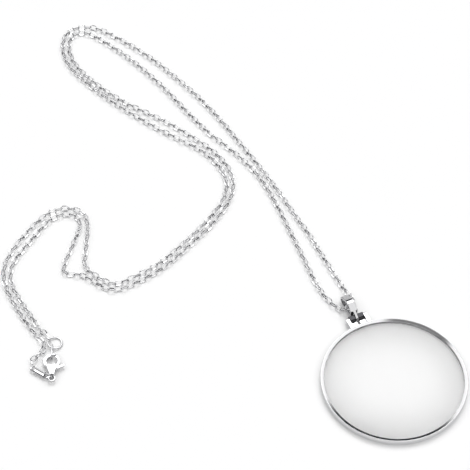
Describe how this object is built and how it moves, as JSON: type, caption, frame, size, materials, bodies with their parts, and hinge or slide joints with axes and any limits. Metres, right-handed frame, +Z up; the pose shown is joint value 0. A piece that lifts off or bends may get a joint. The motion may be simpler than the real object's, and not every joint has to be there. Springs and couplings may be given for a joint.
{
  "type": "magnifier pendant",
  "caption": "Round magnifier pendant: framed lens hinged by two dark square blocks to a bail on a long fine cable chain with a claw clasp, laid in a double line.",
  "frame": {"origin": "centre of the whole footprint, at the table that the chain and the pendant rest on", "axes": "+Z up from the table; +Y along the longer side of the footprint, away from the viewer of the picture; +X to the viewer's right"},
  "size_m": [0.1534, 0.1848, 0.0049],
  "materials": {
    "rim_metal": "polished silver-tone plate",
    "fitting_metal": "polished silver-tone plate",
    "chain_metal": "polished silver-tone plate, diamond-cut links",
    "dark_block": "dark gunmetal, smooth",
    "lens_glass": "clear, polished"
  },
  "bodies": {
    "necklace": {"bail": "fitting_metal", "chain_left": "chain_metal", "chain_right": "chain_metal", "end_ring": "fitting_metal", "connecting_link": "fitting_metal", "clasp_body": "fitting_metal", "clasp_ring": "fitting_metal", "connector_tab": "fitting_metal"},
    "pendant": {"rim": "rim_metal", "lens": "lens_glass", "hinge_block_left": "dark_block", "hinge_block_right": "dark_block", "hinge_pin": "fitting_metal"},
    "lever": {"clasp_lever": "fitting_metal"}
  },
  "joints": [
    {"name": "pendant_hinge", "type": "hinge", "parent": "necklace", "child": "pendant", "pos_m": [0.04198, -0.04445, 0.0015], "axis": [-0.91, -0.4147, 0], "range_deg": [0, 100]},
    {"name": "lever_pivot", "type": "hinge", "parent": "necklace", "child": "lever", "pos_m": [-0.05585, -0.06445, 0.0012], "axis": [0, 0, 1], "range_deg": [0, 12], "stiffness_Nm_per_rad": 0.0005, "springref_deg": -5.73}
  ]
}
